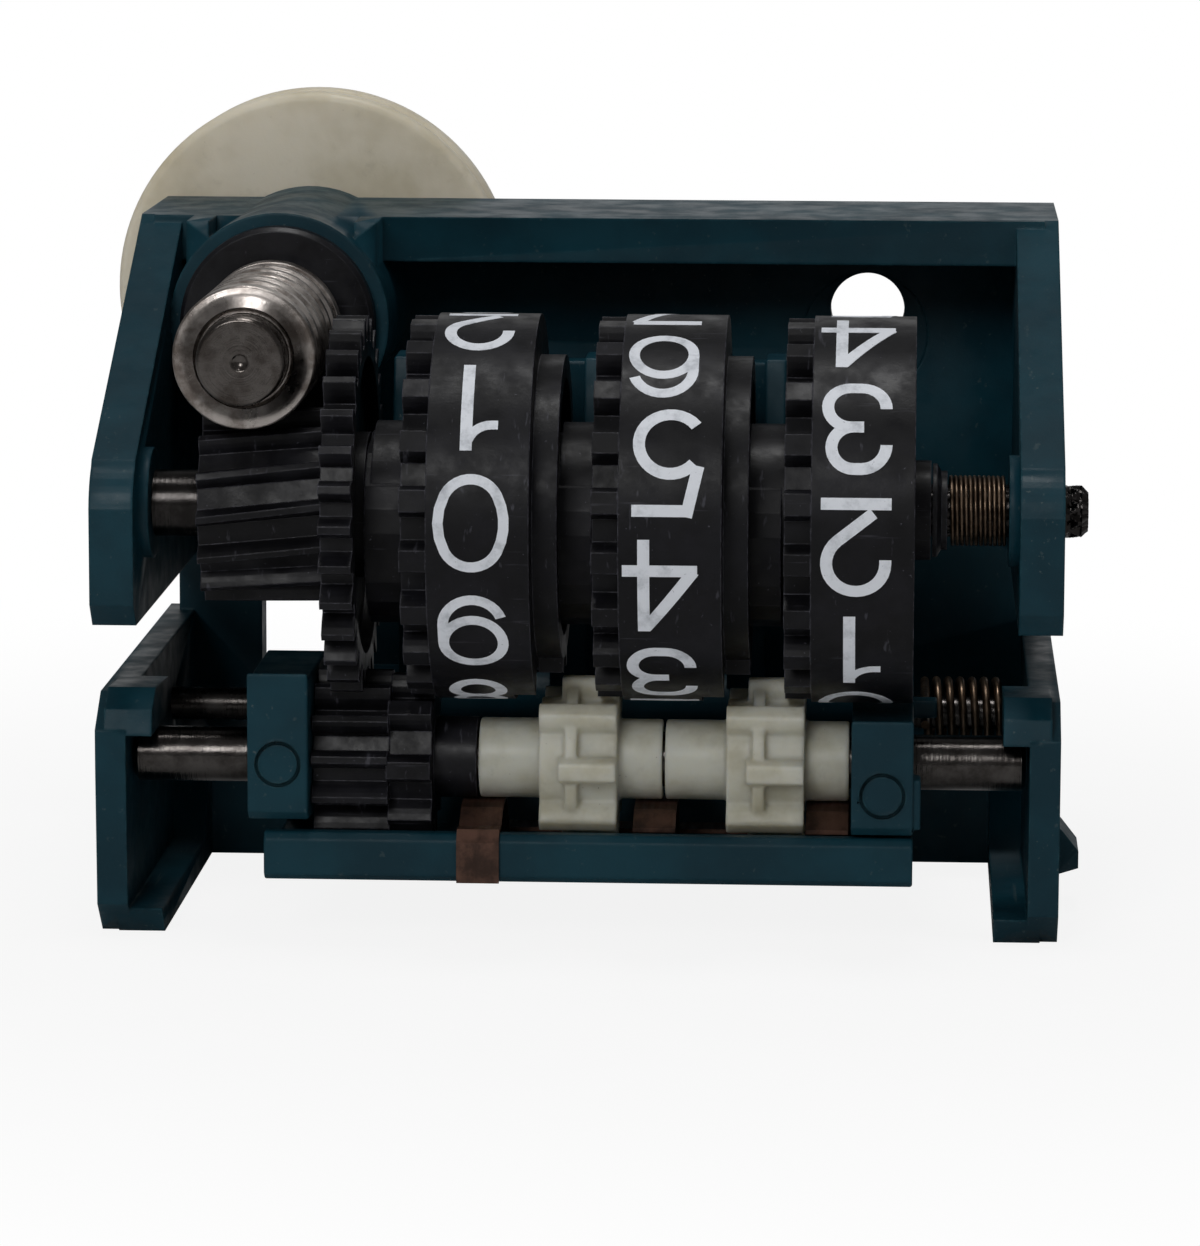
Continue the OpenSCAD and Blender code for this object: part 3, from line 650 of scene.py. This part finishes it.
def drawDigit(digit, pen):
    top = printed["half"]
    if digit == 0:
        side = pen(1.1, 0, 90, 0.35).arc(2.1, 26.8).arc(0.98, 126.4)
        side.arc(2.1, 53.6).arc(0.98, 126.4).arc(2.1, 26.8)
    elif digit == 1:
        pen(0.2, -top - 0.2, 90).line(2 * top + 0.4)
        pen(-0.85, 0.78, 0, 0.32).line(0.22).arc(0.8, 72)
    elif digit == 2:
        pen(-0.98, 0.38, 90).line(0.13).arc(0.98, -232).line(1.5)
        pen(-1.17, -top, 0).line(2.34)
    elif digit == 3:
        pen(-0.98, 0.66, 90).arc(0.83, -90).line(0.26).arc(0.735, -180).line(0.34)
        pen(-0.12, 0.02, 0).line(0.34).arc(0.755, -180).line(0.36).arc(0.83, -90)
    elif digit == 4:
        pen(0.55, -top - 0.2, 90).line(2 * top + 0.4)
        pen(-1.24, -0.62, 0).line(2.5)
        pen(-1.12, -0.62, 53.5).line(2.72)
    elif digit == 5:
        pen(-1.0, top, 0).line(1.95)
        pen(-0.86, top + 0.2, 257).line(1.75)
        pen(-1.1, -0.1, 48).arc(1.07, -52).arc(1.04, -136).arc(1.07, -92)
    elif digit in (6, 9):
        pen(0.96, 0.78, 108, 0.36).arc(1.0, 162).line(0.8).arc(1.0, 360)
    elif digit == 7:
        pen(-1.17, top, 0).line(2.3)
        pen(1.0, top, 243).line(1.9).arc(4.0, 20)
    elif digit == 8:
        pen(0, 0.06, 0).arc(0.72, 360)
        pen(0, -top, 0).arc(0.79, 360)


def digitMesh(digit):
    # the strokes of one digit, upside down as the wheels carry them; the pen draws 6 and 9 alike,
    # and only the 9 keeps the way that it is drawn
    bm = bmesh.new()
    strokes = []

    def pen(x, y, heading, width=printed["stroke"]):
        strokes.append(bmesh.new())
        return Pen(strokes[-1], x, y, heading, width)

    drawDigit(digit, pen)
    for i, stroke in enumerate(strokes):
        bmesh.ops.remove_doubles(stroke, verts=stroke.verts, dist=0.01)
        turn = 0 if digit == 9 else math.pi
        bmesh.ops.rotate(stroke, cent=(0, 0, 0), matrix=Matrix.Rotation(turn, 3, "Z"),
                         verts=stroke.verts)
        y = -printed["reach"]
        while y < printed["reach"]:
            # cut across, so that the band can bend round the wheel
            everything = stroke.verts[:] + stroke.edges[:] + stroke.faces[:]
            bmesh.ops.bisect_plane(stroke, geom=everything, plane_co=(0, y, 0), plane_no=(0, 1, 0),
                                   dist=1e-5)
            y += printed["cutEvery"]
        top = printed["lift"] + 0.003 * i
        bmesh.ops.translate(stroke, vec=(0, 0, top), verts=stroke.verts)
        made = bmesh.ops.extrude_face_region(stroke, geom=stroke.faces[:])["geom"]
        lower = [g for g in made if isinstance(g, bmesh.types.BMVert)]
        bmesh.ops.translate(stroke, vec=(0, 0, -top - printed["sink"]), verts=lower)
        held = bpy.data.meshes.new("stroke")
        stroke.to_mesh(held)
        stroke.free()
        bm.from_mesh(held)
        bpy.data.meshes.remove(held)
    return bm


def makeDigits(wheel, place):
    whole = bmesh.new()
    for digit in range(10):
        bm = digitMesh(digit)
        for v in bm.verts:
            # wrap: up the sheet becomes round the band, starting at the front
            angle = v.co.y / printed["bandR"] + math.radians(place["zeroAt"] + printed["pitch"] * digit)
            radius = (printed["bandR"] + v.co.z) * mm
            v.co = wheelAxis + Vector(((place["centreX"] + v.co.x) * mm, -radius * math.cos(angle),
                                       radius * math.sin(angle)))
        held = bpy.data.meshes.new("digit")
        bm.to_mesh(held)
        bm.free()
        whole.from_mesh(held)
        bpy.data.meshes.remove(held)
    piece = makePiece(wheel + "_digits", whole, whitePrint, wheel)
    shade(piece, 40)


for wheel, place in printed["wheels"].items():
    makeDigits(wheel, place)
print("digits done")


# moulded pieces with softened corners

softCopy("housing", teal, "frame")
softCopy("pinion_carrier", teal, "carrier", 0.08)
nylonCorners = {"step": 0.05, "rounds": 10, "slim": 0.02, "keep": 0.35}
mouldedCopy("tens_pinion", ivory, "tens_step", nylonCorners)
mouldedCopy("hundreds_pinion", ivory, "hundreds_step", nylonCorners)

# the round window is narrower than the bore in the wall: a ring with its hole set high
windowRim = {"x": 9.6, "z": 4.1, "r": 2.3, "holeX": 9.66, "holeZ": 5.02, "holeR": 1.36, "frontY": 17.62,
             "deep": 1.46, "steps": 72}


def makeWindowRim(s):
    bm = bmesh.new()
    for x, z, r in ((s["x"], s["z"], s["r"]), (s["holeX"], s["holeZ"], s["holeR"])):
        made = bmesh.ops.create_circle(bm, cap_ends=False, segments=s["steps"], radius=r * mm)
        spot = wheelAxis + Vector((x, s["frontY"], z)) * mm
        stand = Matrix.Translation(spot) @ Matrix.Rotation(math.pi / 2, 4, "X")
        bmesh.ops.transform(bm, matrix=stand, verts=made["verts"])
    bmesh.ops.bridge_loops(bm, edges=bm.edges[:])
    made = bmesh.ops.extrude_face_region(bm, geom=bm.faces[:])["geom"]
    rear = [g for g in made if isinstance(g, bmesh.types.BMVert)]
    bmesh.ops.translate(bm, vec=(0, s["deep"] * mm, 0), verts=rear)
    piece = makePiece("window_rim", bm, teal, "frame")
    shade(piece, 30)


makeWindowRim(windowRim)

for nodeName, material in (
    ("worm_bush", gearBlack), ("worm_wheel", gearBlack), ("units_wheel", wheelBlack),
    ("tens_wheel", wheelBlack), ("hundreds_wheel", wheelBlack), ("shaft_collar", gearBlack),
    ("drive_pinion", gearBlack), ("drive_pulley", litPulleyIvory), ("pulley_clip", wire),
    ("pinion_shaft", shadedPinionShaftSteel), ("brake_spring", bronze), ("pivot_pin", shadedPivotSteel),
    ("housing", teal), ("pinion_carrier", teal), ("tens_pinion", ivory), ("hundreds_pinion", ivory),
    ("worm", wormSteel), ("wheel_shaft", shadedWheelShaftSteel), ("axial_spring", wire),
    ("carrier_spring", wire),
):
    paint(nodeName, material)
print("moulded pieces done")


# floor, light and camera

studio = {
    "floorR": 0.9, "fadeFrom": 0.018, "fadeTo": 0.07, "floorTone": 0.75, "floorPatch": 0.7,
    "sky": 0.17, "whiteNear": 0.88,
    "lamps": {
        "key": {"spot": (-0.07, -0.3, 0.17), "aim": (0, 0, 0.012), "size": 0.12, "watts": 0.34},
        "top": {"spot": (0.0, -0.02, 0.3), "aim": (0, 0, 0.015), "size": 0.09, "watts": 0.26},
        "rear": {"spot": (0.02, 0.3, 0.1), "aim": (0, 0, 0.02), "size": 0.26, "watts": 0.07},
    },
}


def makeFloor(s):
    bm = bmesh.new()
    bmesh.ops.create_circle(bm, cap_ends=True, segments=96, radius=s["floorR"])
    mesh = bpy.data.meshes.new("floor")
    bm.to_mesh(mesh)
    bm.free()
    floor = bpy.data.objects.new("floor", mesh)
    bpy.context.scene.collection.objects.link(floor)
    look = Look("pale_floor", Roughness=0.8, Specular_IOR_Level=0.2)
    clean, patch = ((s[k], s[k], s[k], 1) for k in ("floorTone", "floorPatch"))
    tone = look.mix(look.curve(look.noise(9.0, 3), 0.3, 0.7), clean, patch)
    look.finish(tone)
    white = look.add("ShaderNodeEmission")
    white.inputs["Strength"].default_value = 1.0
    rays = look.add("ShaderNodeLightPath")
    seen = look.maths("MAXIMUM", rays.outputs["Is Camera Ray"], rays.outputs["Is Transmission Ray"])
    far = look.add("ShaderNodeVectorMath")
    far.operation = "LENGTH"
    look.link(look.coords, far.inputs[0])
    fade = look.curve(far.outputs["Value"], s["fadeFrom"], s["fadeTo"], s["whiteNear"], 1.0)
    blend = look.add("ShaderNodeMixShader")
    look.link(look.maths("MULTIPLY", seen, fade), blend.inputs["Fac"])
    look.link(look.shader.outputs[0], blend.inputs[1])
    look.link(white.outputs[0], blend.inputs[2])
    look.link(blend.outputs[0], look.tree.nodes["Material Output"].inputs["Surface"])
    mesh.materials.append(look.mat)


def makeSky(s):
    world = bpy.data.worlds.new("studio")
    bpy.context.scene.world = world
    world.use_nodes = True
    tree = world.node_tree
    tree.nodes.clear()
    out = tree.nodes.new("ShaderNodeOutputWorld")
    soft = tree.nodes.new("ShaderNodeBackground")
    soft.inputs["Strength"].default_value = s["sky"]
    white = tree.nodes.new("ShaderNodeBackground")
    white.inputs["Color"].default_value = (1, 1, 1, 1)
    rays = tree.nodes.new("ShaderNodeLightPath")
    seen = tree.nodes.new("ShaderNodeMath")
    seen.operation = "MAXIMUM"
    tree.links.new(rays.outputs["Is Camera Ray"], seen.inputs[0])
    tree.links.new(rays.outputs["Is Transmission Ray"], seen.inputs[1])
    blend = tree.nodes.new("ShaderNodeMixShader")
    tree.links.new(seen.outputs[0], blend.inputs["Fac"])
    soft.inputs["Color"].default_value = (1, 1, 1, 1)
    tree.links.new(soft.outputs[0], blend.inputs[1])
    tree.links.new(white.outputs[0], blend.inputs[2])
    tree.links.new(blend.outputs[0], out.inputs["Surface"])


def makeLamp(name, s):
    # the lights are soft discs, and none of them shows in the picture
    lamp = bpy.data.lights.new(name, "AREA")
    lamp.shape = "DISK"
    lamp.size = s["size"]
    lamp.energy = s["watts"]
    thing = bpy.data.objects.new(name, lamp)
    thing.location = s["spot"]
    thing.rotation_euler = (Vector(s["aim"]) - Vector(s["spot"])).to_track_quat("-Z", "Y").to_euler()
    thing.visible_camera = False
    bpy.context.scene.collection.objects.link(thing)


# the picture: lens and place worked out from where known edges fall in it
picture = {"wide": 1200, "sensor": 36, "focalPixels": 5888, "azimuth": 2.958, "elevation": 9.025,
           "roll": 0.179, "place": (11.58, -208.21, 42.55)}


def makeCamera(s):
    data = bpy.data.cameras.new("camera")
    data.sensor_fit = "HORIZONTAL"
    data.sensor_width = s["sensor"]
    data.lens = s["focalPixels"] / s["wide"] * data.sensor_width
    data.clip_start = 0.01
    camera = bpy.data.objects.new("camera", data)
    az, el, roll = (math.radians(s[k]) for k in ("azimuth", "elevation", "roll"))
    forward = Vector((-math.sin(az) * math.cos(el), math.cos(az) * math.cos(el), -math.sin(el)))
    flat = Vector((math.cos(az), math.sin(az), 0))
    up = flat.cross(forward)
    right = flat * math.cos(roll) + up * math.sin(roll)
    up = right.cross(forward)
    turn = Matrix((right, up, -forward)).transposed().to_4x4()
    camera.matrix_world = Matrix.Translation(Vector(s["place"]) * mm) @ turn
    bpy.context.scene.collection.objects.link(camera)
    bpy.context.scene.camera = camera


makeFloor(studio)
makeSky(studio)
for name, lamp in studio["lamps"].items():
    makeLamp(name, lamp)
makeCamera(picture)
bpy.context.scene.view_settings.view_transform = "Standard"
print("stage done")
